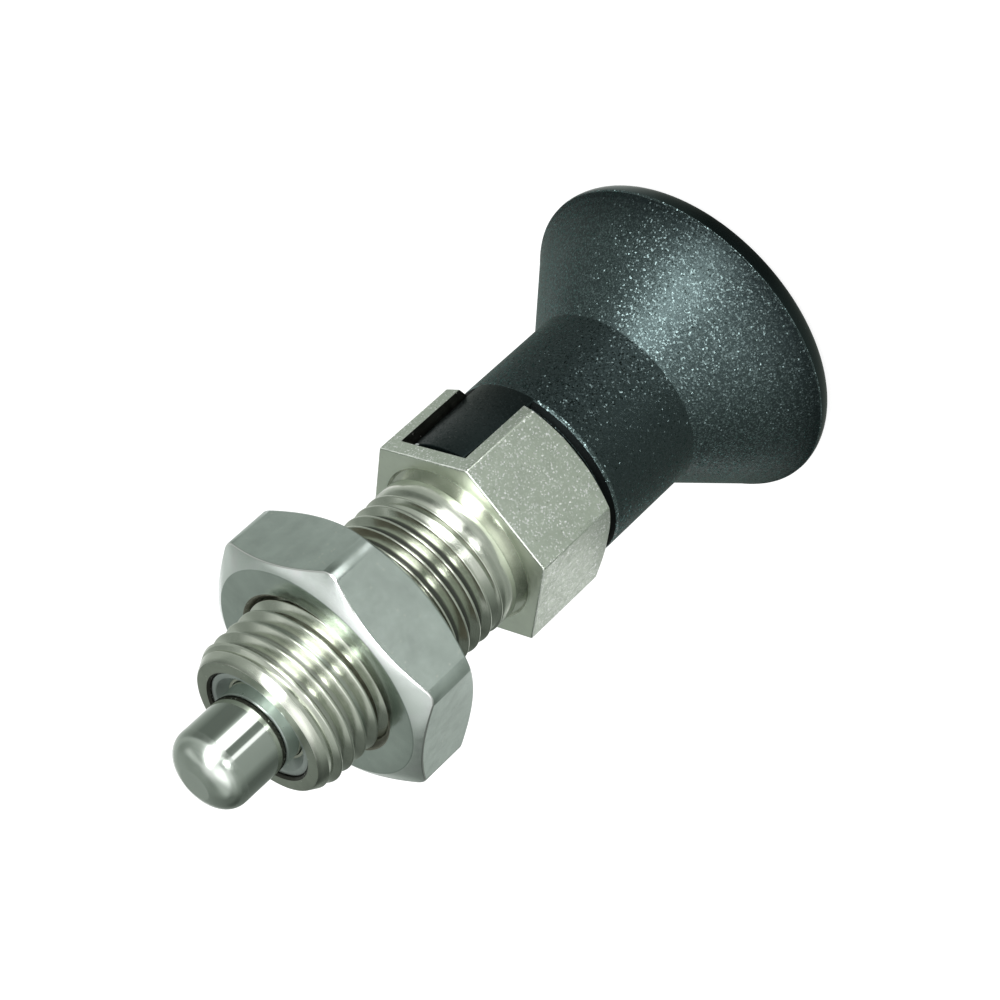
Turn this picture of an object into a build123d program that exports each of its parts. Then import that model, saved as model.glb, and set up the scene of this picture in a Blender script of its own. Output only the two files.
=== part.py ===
"""Indexing plunger with a cross slot that keys its knob.

A hexagon-headed threaded body carries a spring-loaded locking pin. The knob is fixed to the
pin's stem, and a bar across the foot of the knob lies in a slot across the head. The knob is
pulled until the bar is clear of the slot, and may then be turned so that the bar rests on the
head and holds the pin back.

Frame: +Z runs along the pin, from the knob to the pin's nose. The origin is the centre of the
head's bearing face. The slot runs along X. Lengths are in millimetres, angles in degrees.
"""

import os
from math import radians, sqrt, tan

from build123d import *

# ------------------------------------------------------------------ body: head and thread
head_across_flats = 19.0
head_height = 10.0
head_turned_diameter = 18.8  # where the chamfer on the head's corners starts
corner_chamfer_angle = 30.0
slot_width = 8.2
slot_depth = 8.5
face_recess_diameter = 16.6  # shallow recess around the root of the thread
face_recess_depth = 0.3
thread_crest_diameter = 15.74  # M16 x 1.5, over the crests
thread_pitch = 1.5
thread_depth = 0.84  # crest to root
thread_crest_width = 0.16
thread_flank_angle = 30.0  # of each flank
thread_start = 3.19  # bearing face to the first full crest, after the plain band
thread_length = 26.0  # bearing face to the end of the thread
thread_end_chamfer = 1.6  # along the axis
thread_end_chamfer_angle = 28.5  # from the axis
relief_width = 1.0  # groove between the head and the thread
relief_depth = 0.55

# ------------------------------------------------------------------ body: inside
bush_diameter = 11.3
bush_length = 5.0
bush_setback = 0.3  # from the end of the thread to the bush's face
bush_seat_width = 0.65  # shoulder that the bush is pressed against
bush_countersink_diameter = 10.1
bush_countersink_depth = 0.9
mouth_chamfer = 0.2
web_thickness = 3.5  # between the slot and the spring chamber

# ------------------------------------------------------------------ locking pin
pin_diameter = 8.0
pin_projection = 7.65  # beyond the end of the thread
pin_nose_length = 2.45
pin_nose_radius = 3.3
pin_front_diameter = 4.6  # flat front of the nose
collar_thickness = 2.0
collar_chamfer = 0.3
stem_diameter = 5.0
stem_grip = 17.6  # length of stem inside the knob
stem_end_chamfer = 0.4

# ------------------------------------------------------------------ spring
wire_diameter = 0.9
wire_sides = 8  # facets of the round wire
spring_diameter = 9.2  # outside the coils
spring_turns = 7

# ------------------------------------------------------------------ knob
rim_diameter = 33.38
rim_edge_radius = 2.85
knob_length = 24.6  # foot of the sleeve to the flat top
sleeve_length = 12.03  # foot of the sleeve to the flare
sleeve_chamfer_width = 0.5
sleeve_chamfer_length = 0.7
sleeve_gap = 0.4  # from the head to the foot of the sleeve
bar_floor_gap = 0.5  # from the floor of the slot to the bar
bar_side_gap = 0.55  # from the wall of the slot to the bar, at the sleeve
bar_draft = 2.7  # on each side of the bar
bar_edge_chamfer = 0.3

# ------------------------------------------------------------------ lock nut
nut_across_flats = 23.7
nut_thickness = 7.4
nut_height = 11.2  # from the bearing face to the near face of the nut
nut_turned_diameter = 22.2
nut_corner_radius = 0.8
nut_countersink = 0.65
nut_turn = 0.9  # from the corners of the head

# ------------------------------------------------------------------ fits, on the radius
pin_clearance = 0.05
stem_clearance = 0.08
collar_clearance = 0.10
nut_clearance = 0.06

# ------------------------------------------------------------------ levels and radii that follow
slot_floor = slot_depth - head_height
chamber_floor = slot_floor + web_thickness
bush_face = thread_length - bush_setback
bush_seat = bush_face - bush_length
pin_tip = thread_length + pin_projection
collar_back = bush_seat - collar_thickness
sleeve_foot = -head_height - sleeve_gap
flare_start = sleeve_foot - sleeve_length
knob_top = sleeve_foot - knob_length
rim_level = knob_top + rim_edge_radius
stem_end = sleeve_foot - stem_grip
bar_foot = slot_floor - bar_floor_gap

corner_slope = tan(radians(corner_chamfer_angle))
crest_radius = thread_crest_diameter / 2
end_radius = crest_radius - thread_end_chamfer * tan(radians(thread_end_chamfer_angle))
relief_radius = crest_radius - relief_depth
root_radius = crest_radius - thread_depth
bush_radius = bush_diameter / 2
chamber_radius = bush_radius - bush_seat_width
pin_radius = pin_diameter / 2
collar_radius = chamber_radius - collar_clearance
stem_radius = stem_diameter / 2
sleeve_radius = head_across_flats / 2  # the sleeve is as wide as the head's flats
rim_radius = rim_diameter / 2
nut_bore_radius = crest_radius + nut_clearance


# ------------------------------------------------------------------ threaded body
with BuildPart() as threaded_body:
    # hexagonal head, under the bearing face
    with BuildSketch(Plane.XY.offset(-head_height)):
        RegularPolygon(head_across_flats / 2, 6, major_radius=False, rotation=30)
    extrude(amount=head_height)

    # corners of the head turned off on the knob's side
    head_corner_radius = head_across_flats / sqrt(3)
    with BuildSketch(Plane.XZ):
        with BuildLine():
            turned = head_corner_radius - head_turned_diameter / 2
            Polyline(
                (head_turned_diameter / 2, -head_height),
                (head_turned_diameter / 2 + turned, -head_height),
                (head_turned_diameter / 2 + turned, -head_height + turned * corner_slope),
                close=True,
            )
        make_face()
    revolve(axis=Axis.Z, mode=Mode.SUBTRACT)

    # slot across the head for the knob's bar
    with BuildSketch(Plane.YZ):
        with Locations((0, -head_height)):
            Rectangle(slot_width, 2 * slot_depth)
    extrude(amount=head_corner_radius, both=True, mode=Mode.SUBTRACT)

    # shallow recess in the bearing face
    with BuildSketch(Plane.XY):
        Circle(face_recess_diameter / 2)
    extrude(amount=-face_recess_depth, mode=Mode.SUBTRACT)

    # threaded barrel after its relief groove, each turn of the thread drawn as a ring
    half_crest = thread_crest_width / 2
    flank_height = thread_depth * tan(radians(thread_flank_angle))
    turns = int((thread_length - thread_start) / thread_pitch)
    thread_outline = []
    for turn in range(turns):
        crest = thread_start + turn * thread_pitch
        next_crest = crest + thread_pitch
        thread_outline += [
            (crest_radius, crest + half_crest),
            (root_radius, crest + half_crest + flank_height),
            (root_radius, next_crest - half_crest - flank_height),
            (crest_radius, next_crest - half_crest),
        ]
    with BuildSketch(Plane.XZ):
        with BuildLine():
            Polyline(
                (0, -face_recess_depth),
                (relief_radius, -face_recess_depth),
                (relief_radius, relief_width),
                (crest_radius, relief_width),
                *thread_outline,
                (crest_radius, thread_length),
                (0, thread_length),
                close=True,
            )
        make_face()
    revolve(axis=Axis.Z)

    # chamfered end of the thread
    with BuildSketch(Plane.XZ):
        with BuildLine():
            Polyline(
                (crest_radius, thread_length - thread_end_chamfer),
                (crest_radius, thread_length),
                (end_radius, thread_length),
                close=True,
            )
        make_face()
    revolve(axis=Axis.Z, mode=Mode.SUBTRACT)

    # stepped bore: seat for the bush, chamber for the spring, hole for the stem
    with BuildSketch(Plane.XZ):
        with BuildLine():
            Polyline(
                (0, slot_floor),
                (stem_radius + stem_clearance, slot_floor),
                (stem_radius + stem_clearance, chamber_floor),
                (chamber_radius, chamber_floor),
                (chamber_radius, bush_seat),
                (bush_radius, bush_seat),
                (bush_radius, thread_length - mouth_chamfer),
                (bush_radius + mouth_chamfer, thread_length),
                (0, thread_length),
                close=True,
            )
        make_face()
    revolve(axis=Axis.Z, mode=Mode.SUBTRACT)

threaded_body.part.label = "threaded_body"


# ------------------------------------------------------------------ guide bush
with BuildPart() as guide_bush:
    with BuildSketch(Plane.XY.offset(bush_seat)):
        Circle(bush_radius)
        Circle(pin_radius + pin_clearance, mode=Mode.SUBTRACT)
    extrude(amount=bush_length)

    # countersunk mouth
    countersink_foot = bush_face - bush_countersink_depth
    with BuildSketch(Plane.XZ):
        with BuildLine():
            Polyline(
                (0, countersink_foot),
                (pin_radius + pin_clearance, countersink_foot),
                (bush_countersink_diameter / 2, bush_face),
                (0, bush_face),
                close=True,
            )
        make_face()
    revolve(axis=Axis.Z, mode=Mode.SUBTRACT)

guide_bush.part.label = "guide_bush"


# ------------------------------------------------------------------ locking pin
with BuildPart() as locking_pin:
    # pin, collar that stops against the bush, and stem, turned in one piece
    with BuildSketch(Plane.XZ):
        with BuildLine():
            side = Polyline(
                (0, stem_end),
                (stem_radius, stem_end),
                (stem_radius, collar_back),
                (collar_radius, collar_back),
                (collar_radius, bush_seat),
                (pin_radius, bush_seat),
                (pin_radius, pin_tip - pin_nose_length),
            )
            nose = RadiusArc(side @ 1, (pin_front_diameter / 2, pin_tip), -pin_nose_radius)
            Polyline(nose @ 1, (0, pin_tip), side @ 0)
        make_face()
    revolve(axis=Axis.Z)

    collar_rims = locking_pin.edges().filter_by(GeomType.CIRCLE).filter_by(
        lambda rim: abs(rim.radius - collar_radius) < 1e-6
    )
    chamfer(collar_rims, length=collar_chamfer)
    chamfer(locking_pin.edges().sort_by(Axis.Z)[0], length=stem_end_chamfer)

locking_pin.part.label = "locking_pin"


# ------------------------------------------------------------------ return spring
# An even coil from the chamber's floor to the back of the collar, its first and last turns
# touching them.
coil_radius = (spring_diameter - wire_diameter) / 2
coil_height = collar_back - chamber_floor - wire_diameter

with BuildPart() as return_spring:
    with BuildLine():
        coil = Helix(
            pitch=coil_height / spring_turns,
            height=coil_height,
            radius=coil_radius,
            center=(0, 0, chamber_floor + wire_diameter / 2),
        )
    with BuildSketch(Plane(origin=coil @ 0, x_dir=(1, 0, 0), z_dir=coil % 0)):
        RegularPolygon(wire_diameter / 2, wire_sides)
    sweep(path=coil, is_frenet=True)

return_spring.part.label = "return_spring"


# ------------------------------------------------------------------ knob
with BuildPart() as knob:
    # bar across the foot, narrowing towards the floor of the slot
    bar_half_width = slot_width / 2 - bar_side_gap
    bar_height = bar_foot - sleeve_foot
    foot_half_width = bar_half_width - bar_height * tan(radians(bar_draft))
    with BuildSketch(Plane.YZ):
        with BuildLine():
            Polyline(
                (-bar_half_width, sleeve_foot),
                (bar_half_width, sleeve_foot),
                (foot_half_width, bar_foot),
                (-foot_half_width, bar_foot),
                close=True,
            )
        make_face()
    extrude(amount=sleeve_radius, both=True)
    with BuildSketch(Plane.XY.offset(sleeve_foot)):
        Circle(sleeve_radius)
    extrude(amount=bar_height, mode=Mode.INTERSECT)
    chamfer(knob.faces().sort_by(Axis.Z)[-1].edges(), length=bar_edge_chamfer)

    # sleeve, flare and rounded rim
    with BuildSketch(Plane.XZ):
        with BuildLine():
            side = Polyline(
                (0, sleeve_foot),
                (sleeve_radius - sleeve_chamfer_width, sleeve_foot),
                (sleeve_radius, sleeve_foot - sleeve_chamfer_length),
                (sleeve_radius, flare_start),
                (rim_radius, rim_level),
            )
            edge = CenterArc((rim_radius - rim_edge_radius, rim_level), rim_edge_radius, 0, -90)
            Polyline(edge @ 1, (0, knob_top), side @ 0)
        make_face()
    revolve(axis=Axis.Z)

    # blind hole that the stem is pressed into
    with BuildSketch(Plane.XY.offset(stem_end)):
        Circle(stem_radius)
    extrude(amount=bar_foot - stem_end, mode=Mode.SUBTRACT)

knob.part.label = "knob"


# ------------------------------------------------------------------ lock nut
with BuildPart() as lock_nut:
    with BuildSketch(Plane.XY.offset(nut_height)) as nut_outline:
        RegularPolygon(nut_across_flats / 2, 6, major_radius=False, rotation=30 + nut_turn)
        fillet(nut_outline.vertices(), radius=nut_corner_radius)
    extrude(amount=nut_thickness)

    # both faces turned at the corners, and the bore countersunk from both sides
    nut_far_face = nut_height + nut_thickness
    nut_turned_radius = nut_turned_diameter / 2
    nut_corner_reach = nut_across_flats / sqrt(3)
    nut_turned_depth = (nut_corner_reach - nut_turned_radius) * corner_slope
    with BuildSketch(Plane.XZ):
        with BuildLine():
            Polyline(
                (nut_bore_radius, nut_height + nut_countersink),
                (nut_bore_radius + nut_countersink, nut_height),
                (nut_turned_radius, nut_height),
                (nut_corner_reach, nut_height + nut_turned_depth),
                (nut_corner_reach, nut_far_face - nut_turned_depth),
                (nut_turned_radius, nut_far_face),
                (nut_bore_radius + nut_countersink, nut_far_face),
                (nut_bore_radius, nut_far_face - nut_countersink),
                close=True,
            )
        make_face()
    revolve(axis=Axis.Z, mode=Mode.INTERSECT)

lock_nut.part.label = "lock_nut"


os.makedirs("parts", exist_ok=True)
for piece in (threaded_body, guide_bush, locking_pin, return_spring, knob, lock_nut):
    export_step(piece.part, f"parts/{piece.part.label}.step")
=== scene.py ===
"""Indexing plunger with a keyed pull knob: its dressed pieces, its studio and its camera.

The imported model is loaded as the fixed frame. Each sub-assembly is a class that holds its
sizes in metres, models its pieces and gives them their finish. +Z runs along the pin, from the
knob to the pin's nose, and the origin is the centre of the head's bearing face.
"""

from __future__ import annotations

import logging
import math
from contextlib import contextmanager
from dataclasses import dataclass, replace
from enum import Enum
from typing import Callable, Iterator, Optional, Sequence, Union

import bmesh
import bpy
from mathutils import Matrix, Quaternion, Vector

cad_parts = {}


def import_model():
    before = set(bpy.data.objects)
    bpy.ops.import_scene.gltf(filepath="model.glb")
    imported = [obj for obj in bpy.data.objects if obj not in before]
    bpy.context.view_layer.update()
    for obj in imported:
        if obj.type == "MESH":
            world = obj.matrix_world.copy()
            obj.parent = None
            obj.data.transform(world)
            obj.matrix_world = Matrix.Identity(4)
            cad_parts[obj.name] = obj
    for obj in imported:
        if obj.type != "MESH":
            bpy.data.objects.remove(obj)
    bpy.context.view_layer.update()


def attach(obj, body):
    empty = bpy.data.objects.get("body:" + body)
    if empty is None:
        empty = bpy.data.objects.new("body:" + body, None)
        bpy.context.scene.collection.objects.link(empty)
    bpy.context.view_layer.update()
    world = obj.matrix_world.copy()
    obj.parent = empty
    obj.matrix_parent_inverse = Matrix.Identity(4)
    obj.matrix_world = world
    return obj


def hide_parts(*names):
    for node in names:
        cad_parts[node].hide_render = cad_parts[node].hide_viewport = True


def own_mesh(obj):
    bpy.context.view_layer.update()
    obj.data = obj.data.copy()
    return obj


LOG = logging.getLogger("plunger")
Point = tuple[float, float]
Range = tuple[float, float]
Colour = tuple[float, float, float]
Object = bpy.types.Object
Socket = bpy.types.NodeSocket
Value = Union[Socket, Colour, float]

ANY: Range = (-math.inf, math.inf)
WHITE: Colour = (1.0, 1.0, 1.0)
TAN_30 = math.tan(math.radians(30))
WELD = 1e-7
DEGENERATE = 1e-8
SLIVER = 1e-4
OVERSHOOT = 0.0005


# ------------------------------------------------------------------ modelling by hand
class Cut(Enum):
    """What a cutter does to a piece."""

    KEEP_COMMON = "INTERSECT"
    TAKE_AWAY = "DIFFERENCE"
    ADD = "UNION"


class Element(Enum):
    """What is selected in edit mode."""

    EDGE = "EDGE"
    FACE = "FACE"


def pick(obj: Object) -> None:
    """Selects one object alone and makes it the active one.

    Args:
        obj: the object.
    """
    bpy.ops.object.select_all(action="DESELECT")
    obj.select_set(True)
    bpy.context.view_layer.objects.active = obj


@contextmanager
def editing(obj: Object, everything: bool = False) -> Iterator[None]:
    """Opens an object in edit mode.

    Args:
        obj: the object.
        everything: whether all of it is selected, or nothing.
    """
    pick(obj)
    bpy.ops.object.mode_set(mode="EDIT")
    bpy.ops.mesh.select_mode(type="VERT")
    bpy.ops.mesh.select_all(action="DESELECT")
    if everything:
        bpy.ops.mesh.select_all(action="SELECT")
    yield
    bpy.ops.object.mode_set(mode="OBJECT")


def started(name: str, add: Callable[..., object], **settings: object) -> Object:
    """Adds a primitive at its size and place, and puts its place into its mesh.

    Args:
        name: the object's name.
        add: the operator that adds it.
        settings: the operator's settings.

    Returns:
        The object.
    """
    bpy.ops.object.select_all(action="DESELECT")
    add(**settings)
    obj = bpy.context.active_object
    obj.name = obj.data.name = name
    bpy.ops.object.transform_apply(location=True, rotation=True, scale=True)
    return obj


def modified(obj: Object, kind: str, **settings: object) -> Object:
    """Gives an object a modifier and applies it.

    Args:
        obj: the object.
        kind: the modifier's type.
        settings: its settings.

    Returns:
        The object.
    """
    pick(obj)
    modifier = obj.modifiers.new(kind.lower(), kind)
    for key, value in settings.items():
        setattr(modifier, key, value)
    bpy.ops.object.modifier_apply(modifier=modifier.name)
    return obj


def choose(obj: Object, element: Element, wanted: Callable[[object], bool]) -> None:
    """Selects the edges or the faces that answer a test, and nothing else, in edit mode.

    Args:
        obj: the mesh in edit mode.
        element: what is tested.
        wanted: the test.
    """
    bpy.ops.mesh.select_mode(type=element.value)
    mesh = bmesh.from_edit_mesh(obj.data)
    for part in (*mesh.verts, *mesh.edges, *mesh.faces):
        part.select = False
    for part in mesh.edges if element is Element.EDGE else mesh.faces:
        if wanted(part):
            part.select_set(True)
    bmesh.update_edit_mesh(obj.data)


def choose_end(obj: Object, middle: float, above: bool) -> None:
    """Selects the open edge at the lower or the upper end of a wound shell, in edit mode."""
    choose(obj, Element.EDGE, lambda e: e.is_boundary and (e.verts[0].co.z > middle) == above)


def tidy(obj: Object) -> Object:
    """Merges doubles and turns every face outwards.

    Args:
        obj: the object.

    Returns:
        The object.
    """
    with editing(obj, True):
        bpy.ops.mesh.remove_doubles(threshold=WELD)
        bpy.ops.mesh.dissolve_degenerate(threshold=DEGENERATE)
        bpy.ops.mesh.select_all(action="SELECT")
        bpy.ops.mesh.normals_make_consistent(inside=False)
    return obj


def drawn(name: str, outline: Sequence[Point], closed: bool = False) -> Object:
    """Draws an outline in the XZ plane, one extruded vertex after another.

    Args:
        name: the object's name.
        outline: radius and height of each point.
        closed: whether the last point is joined to the first.

    Returns:
        An object of edges alone.
    """
    obj = started(name, bpy.ops.mesh.primitive_plane_add, size=0.001)
    with editing(obj, True):
        bpy.ops.mesh.merge(type="CENTER")
        bpy.ops.mesh.select_all(action="SELECT")
        bpy.ops.transform.translate(value=(outline[0][0], 0, outline[0][1]))
        for (near, low), (far, high) in zip(outline, outline[1:]):
            step = {"value": (far - near, 0, high - low), "orient_type": "GLOBAL"}
            bpy.ops.mesh.extrude_vertices_move(TRANSFORM_OT_translate=step)
        if closed:
            mesh = bmesh.from_edit_mesh(obj.data)
            for vertex in mesh.verts:
                vertex.select = len(vertex.link_edges) == 1
            bpy.ops.mesh.edge_face_add()
    return obj


def turned(name: str, outline: Sequence[Point], steps: int = 192, closed: bool = False) -> Object:
    """Turns an outline round Z, as on a lathe.

    Args:
        name: the object's name.
        outline: radius and height of each point, from the axis back to the axis, or a ring's.
        steps: steps of the turn.
        closed: whether the outline is a ring's, closed on itself.

    Returns:
        A closed solid.
    """
    obj = drawn(name, outline, closed)
    with editing(obj, True):
        bpy.ops.mesh.spin(
            steps=steps, angle=math.tau, center=(0, 0, 0), axis=(0, 0, 1), use_auto_merge=True
        )
    return tidy(obj)


def wound(obj: Object, rise: float, turns: int, steps: int) -> Object:
    """Winds an outline up round Z, as a thread or a coil.

    Args:
        obj: the outline.
        rise: how far it rises in a turn.
        turns: how many turns it makes.
        steps: steps of one turn.

    Returns:
        A shell that is open at both ends.
    """
    modified(
        obj, "SCREW", axis="Z", angle=math.tau, screw_offset=rise, iterations=turns,
        steps=steps, render_steps=steps,
    )
    return tidy(obj)


def corner_reach(across_flats: float) -> float:
    """Gives the distance of a hexagon's corners from its middle."""
    return across_flats / math.sqrt(3)


def hexagon(name: str, across_flats: float, low: float, high: float, turn: float) -> Object:
    """Adds a hexagon bar.

    Args:
        name: the object's name.
        across_flats: the width over two flats.
        low: the height of its lower face.
        high: the height of its upper face.
        turn: the azimuth of a corner, in degrees.

    Returns:
        A closed prism.
    """
    return started(
        name, bpy.ops.mesh.primitive_cylinder_add, vertices=6, radius=corner_reach(across_flats),
        depth=high - low, location=(0, 0, (low + high) / 2),
        rotation=(0, 0, math.radians(turn - 90)),
    )


def cut(obj: Object, tool: Object, how: Cut) -> Object:
    """Cuts a piece with another solid, which is used up.

    Args:
        obj: the piece.
        tool: the cutter.
        how: what is kept.

    Returns:
        The piece.
    """
    modified(obj, "BOOLEAN", operation=how.value, object=tool, solver="EXACT")
    mesh = tool.data
    bpy.data.objects.remove(tool)
    bpy.data.meshes.remove(mesh)
    return obj


def turned_cut(
    obj: Object, how: Cut, outline: Sequence[Point], steps: int = 192, closed: bool = False
) -> Object:
    """Cuts a piece with a turned solid; the outline, steps and closed are as for turned."""
    return cut(obj, turned("cutter", outline, steps, closed), how)


def soften(obj: Object, width: float, segments: int, angle: float) -> Object:
    """Rounds a piece's sharp edges, once the slivers that would hold the rounding back are merged.

    Args:
        obj: the piece.
        width: width of the rounding.
        segments: its steps.
        angle: edges sharper than this are rounded, in degrees.

    Returns:
        The piece.
    """
    with editing(obj, True):
        bpy.ops.mesh.remove_doubles(threshold=SLIVER)
    return modified(
        obj, "BEVEL", width=width, segments=segments, limit_method="ANGLE",
        angle_limit=math.radians(angle), use_clamp_overlap=True, miter_outer="MITER_ARC",
    )


def smooth(obj: Object, angle: float, flats: float = 0.0) -> Object:
    """Shades a piece smooth, except over its sharp edges and round its large flats.

    Args:
        obj: the piece.
        angle: edges sharper than this stay sharp, in degrees.
        flats: faces larger than this keep a sharp border, in square metres.

    Returns:
        The piece.
    """
    pick(obj)
    bpy.ops.object.shade_smooth_by_angle(angle=math.radians(angle))
    if flats:
        with editing(obj):
            choose(obj, Element.EDGE, lambda e: any(f.calc_area() > flats for f in e.link_faces))
            bpy.ops.mesh.mark_sharp()
    return obj


def arc(centre: Point, radius: float, start: float, end: float, steps: int) -> list[Point]:
    """Points along an arc in the drawing plane, from one angle to another, in degrees."""
    turns = (math.radians(start + (end - start) * i / steps) for i in range(steps + 1))
    return [(centre[0] + radius * math.cos(t), centre[1] + radius * math.sin(t)) for t in turns]


def finish_piece(obj: Object, body: str, node: str) -> Object:
    """Lets a finished piece stand for its CAD node and ride on its body.

    Args:
        obj: the piece.
        body: the CAD body that it rides on.
        node: the CAD node that it stands for.

    Returns:
        The piece.
    """
    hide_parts(node)
    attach(obj, body)
    LOG.info("%s: %d faces, %s", obj.name, len(obj.data.polygons), obj.data.materials[0].name)
    return obj


# ------------------------------------------------------------------ shared surface effects
class Sheet:
    """A node tree being wired: nodes are added, and their inputs are joined or set."""

    def __init__(self, tree: bpy.types.NodeTree) -> None:
        """Keeps the tree."""
        self.tree = tree

    def put(self, value: Value, into: Socket) -> None:
        """Links a socket into another, or gives that one a colour or a number.

        Args:
            value: the socket, colour or number.
            into: the input socket.
        """
        if isinstance(value, Socket):
            self.tree.links.new(value, into)
        else:
            into.default_value = (*value, 1.0) if into.type == "RGBA" else value

    def add(
        self, kind: str, inputs: Optional[dict] = None, **settings: object
    ) -> bpy.types.bpy_prop_collection:
        """Adds a node, sets its properties, and joins or sets its inputs.

        Args:
            kind: the node's type, without the ShaderNode before it.
            inputs: what each input gets, by its name or number.
            settings: the node's properties.

        Returns:
            The node's outputs.
        """
        node = self.tree.nodes.new(f"ShaderNode{kind}")
        for key, value in settings.items():
            setattr(node, key, value)
        for key, value in (inputs or {}).items():
            self.put(value, node.inputs[key])
        return node.outputs

    def maths(self, operation: str, *values: Value) -> Socket:
        """Adds a Math node on sockets or numbers and returns its output."""
        return self.add("Math", dict(enumerate(values)), operation=operation)[0]

    def vectors(self, operation: str, *values: Value) -> Socket:
        """Adds a Vector Math node on sockets or vectors and returns its output."""
        return self.add("VectorMath", dict(enumerate(values)), operation=operation)[0]

    def distance(self, x: Socket, y: Socket) -> Socket:
        """Wires the distance from the axis and returns it."""
        squares = (self.maths("MULTIPLY", side, side) for side in (x, y))
        return self.maths("SQRT", self.maths("ADD", *squares))

    def remap(self, value: Socket, start: Range, end: Range) -> Socket:
        """Adds a Map Range node, from one range to another, and returns its output."""
        keys = ("Value", "From Min", "From Max", "To Min", "To Max")
        return self.add("MapRange", dict(zip(keys, (value, *start, *end))))["Result"]

    def noise(self, place: Socket, scale: float, detail: float = 2.0, rough: float = 0.5) -> Socket:
        """Adds a Noise Texture node and returns its value output."""
        values = {"Vector": place, "Scale": scale, "Detail": detail, "Roughness": rough}
        return self.add("TexNoise", values)["Fac"]

    def blend(self, amount: Value, first: Value, second: Value, how: str = "MIX") -> Socket:
        """Adds a colour Mix node and returns its output."""
        inputs = {0: amount, 6: first, 7: second}
        return self.add("Mix", inputs, data_type="RGBA", blend_type=how)[2]

    def bumped(self, layers: Sequence[tuple[Socket, float]], below: Optional[Socket]) -> Socket:
        """Lays bumps over each other.

        Args:
            layers: each layer's height and its depth in metres.
            below: the normal that they lie on, if it isn't the surface's own.

        Returns:
            The bumped normal.
        """
        for height, depth in layers:
            inputs = {"Strength": 1.0, "Distance": depth, "Height": height}
            if below is not None:
                inputs["Normal"] = below
            below = self.add("Bump", inputs)["Normal"]
        return below


class Effect(Enum):
    """The effects that finishes share."""

    GLINTS = "glints"
    TURNING = "turning_marks"
    FACETS = "facets"

    def wired(self, sheet: Sheet, given: Sequence[Socket]) -> dict[str, Socket]:
        """Wires the effect inside its node group.

        Args:
            sheet: the group's wiring sheet.
            given: the place on the piece, the scale and the strength.

        Returns:
            What the group puts out.
        """
        makers = {Effect.GLINTS: glints, Effect.TURNING: turning_marks, Effect.FACETS: facets}
        return makers[self](sheet, *given)

    def group(self) -> bpy.types.NodeTree:
        """Makes the effect's node group, the first time that it is asked for.

        Returns:
            The group, with the inputs Vector, Scale and Strength.
        """
        if self.value in bpy.data.node_groups:
            return bpy.data.node_groups[self.value]
        group = bpy.data.node_groups.new(self.value, "ShaderNodeTree")
        for key, kind in (("Vector", "Vector"), ("Scale", "Float"), ("Strength", "Float")):
            group.interface.new_socket(key, in_out="INPUT", socket_type=f"NodeSocket{kind}")
        given = group.nodes.new("NodeGroupInput").outputs
        results = self.wired(Sheet(group), given[:3])
        for key in results:
            kind = "Vector" if key == "Normal" else "Float"
            group.interface.new_socket(key, in_out="OUTPUT", socket_type=f"NodeSocket{kind}")
        result = group.nodes.new("NodeGroupOutput")
        for key, socket in results.items():
            group.links.new(socket, result.inputs[key])
        return group

    def placed(
        self, sheet: Sheet, place: Socket, scale: float, strength: float
    ) -> bpy.types.bpy_prop_collection:
        """Places the effect in a material, with its own values, and returns its outputs."""
        inputs = {"Vector": place, "Scale": scale, "Strength": strength}
        return sheet.add("Group", inputs, node_tree=self.group())


def glints(sheet: Sheet, place: Socket, scale: Socket, share: Socket) -> dict[str, Socket]:
    """Wires the glints: a share of the cells of a fine grain, which the steel paints lighter as
    glints of light.

    Args:
        sheet: the group's wiring sheet.
        place: the place on the piece.
        scale: cells in a metre.
        share: the share of cells that glint.

    Returns:
        The glints' mask and the grain's height.
    """
    core, rim = 0.15, 0.55
    cells = sheet.add("TexVoronoi", {"Vector": place, "Scale": scale})
    lot, grain, _ = sheet.add("SeparateColor", {0: cells["Color"]})
    chosen = sheet.maths("GREATER_THAN", lot, sheet.maths("SUBTRACT", 1.0, share))
    spot = sheet.remap(cells["Distance"], (core, rim), (1.0, 0.0))
    return {"Glint": sheet.maths("MULTIPLY", chosen, spot), "Grain": grain}


def facets(sheet: Sheet, place: Socket, scale: Socket, tilt: Socket) -> dict[str, Socket]:
    """Wires the facets: each cell of a fine grain is tilted its own way, a few far more.

    Args:
        sheet: the group's wiring sheet.
        place: the place on the piece.
        scale: cells in a metre.
        tilt: how far they are tilted.

    Returns:
        How rare a cell's tilt is, and the tilted normal.
    """
    rarity, most, least = 4.0, 2.2, 0.25
    cells = sheet.add("TexVoronoi", {"Vector": place, "Scale": scale})
    centred = sheet.vectors("SUBTRACT", cells["Color"], (0.5, 0.5, 0.5))
    chance = sheet.add("TexWhiteNoise", {"Vector": cells["Position"]})["Value"]
    rare = sheet.maths("POWER", chance, rarity)
    amount = sheet.maths("MULTIPLY", sheet.maths("MULTIPLY_ADD", rare, most, least), tilt)
    lean = sheet.add("VectorMath", {0: centred, "Scale": amount}, operation="SCALE")[0]
    leaning = sheet.vectors("ADD", sheet.add("NewGeometry")["Normal"], lean)
    return {"Rare": rare, "Normal": sheet.vectors("NORMALIZE", leaning)}


def turning_marks(sheet: Sheet, place: Socket, scale: Socket, detail: Socket) -> dict[str, Socket]:
    """Wires the turning marks: fine uneven rings round Z, along it and across it.

    Args:
        sheet: the group's wiring sheet.
        place: the place on the piece.
        scale: rings in a metre.
        detail: how many finer rings lie on them.

    Returns:
        The rings' height and the distance from the axis.
    """
    x, y, z = sheet.add("SeparateXYZ", {0: place})
    radius = sheet.distance(x, y)
    along = sheet.add("CombineXYZ", {0: radius, 2: z})[0]
    height = sheet.add("TexNoise", {"Vector": along, "Scale": scale, "Detail": detail})["Fac"]
    return {"Height": height, "Radius": radius}


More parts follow.
